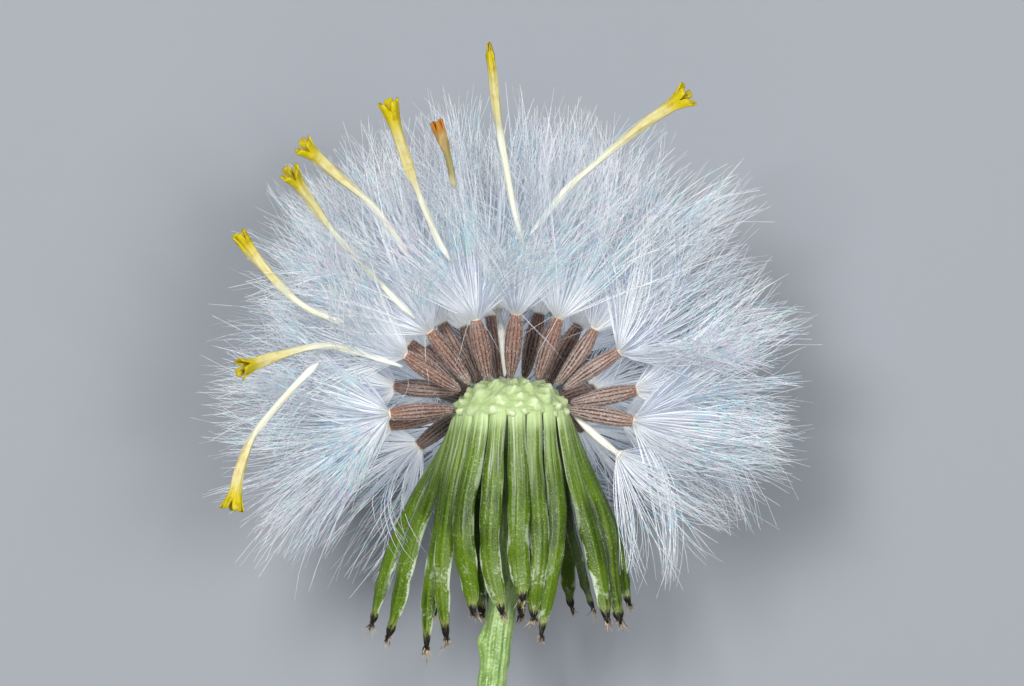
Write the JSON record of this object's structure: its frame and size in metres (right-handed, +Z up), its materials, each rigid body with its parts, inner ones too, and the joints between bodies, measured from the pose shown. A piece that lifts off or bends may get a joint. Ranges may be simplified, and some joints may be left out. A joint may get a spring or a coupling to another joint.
{
  "type": "groundsel seed head",
  "caption": "Ripe groundsel seed head laid on its side: ribbed brown seeds with white hair tufts in a ball around a green receptacle, bracts bent back along a cut stem.",
  "frame": {"origin": "on the resting surface, under the middle of the head's bounding box", "axes": "+Z up from the surface, +Y along the head's axis away from the stem, +X to the right of the head seen from above with the stem towards the viewer"},
  "size_m": [0.0214, 0.0244, 0.0152],
  "materials": {
    "green_stem": "satin",
    "green_bract": "satin",
    "ripe_seed": "matte",
    "aborted_seed": "matte",
    "withered_floret": "satin"
  },
  "bodies": {
    "root": {"stem": "green_stem", "seed_01": "ripe_seed", "seed_02": "ripe_seed", "seed_03": "ripe_seed", "seed_04": "ripe_seed", "seed_05": "ripe_seed", "seed_06": "ripe_seed", "seed_07": "ripe_seed", "seed_08": "ripe_seed", "seed_09": "ripe_seed", "seed_10": "ripe_seed", "seed_11": "ripe_seed", "seed_12": "aborted_seed", "seed_13": "ripe_seed", "seed_14": "ripe_seed", "seed_15": "ripe_seed", "seed_16": "ripe_seed", "seed_17": "ripe_seed", "seed_18": "ripe_seed", "seed_19": "ripe_seed", "seed_20": "ripe_seed", "seed_21": "ripe_seed", "seed_22": "aborted_seed", "seed_23": "ripe_seed", "seed_24": "ripe_seed", "seed_25": "ripe_seed", "seed_26": "ripe_seed", "seed_27": "ripe_seed", "seed_28": "ripe_seed", "seed_29": "ripe_seed", "seed_30": "ripe_seed", "seed_31": "ripe_seed", "bract_01": "green_bract", "bract_02": "green_bract", "bract_03": "green_bract", "bract_04": "green_bract", "bract_05": "green_bract", "bract_06": "green_bract", "bract_07": "green_bract", "bract_08": "green_bract", "bract_09": "green_bract", "bract_10": "green_bract", "bract_11": "green_bract", "bract_12": "green_bract", "bract_13": "green_bract", "bract_14": "green_bract", "bract_15": "green_bract", "bract_16": "green_bract", "bract_17": "green_bract", "bract_18": "green_bract", "bract_19": "green_bract", "floret_01": "withered_floret", "floret_02": "withered_floret", "floret_03": "withered_floret", "floret_04": "withered_floret", "floret_05": "withered_floret", "floret_06": "withered_floret", "floret_07": "withered_floret", "floret_08": "withered_floret", "floret_09": "withered_floret"}
  },
  "joints": []
}
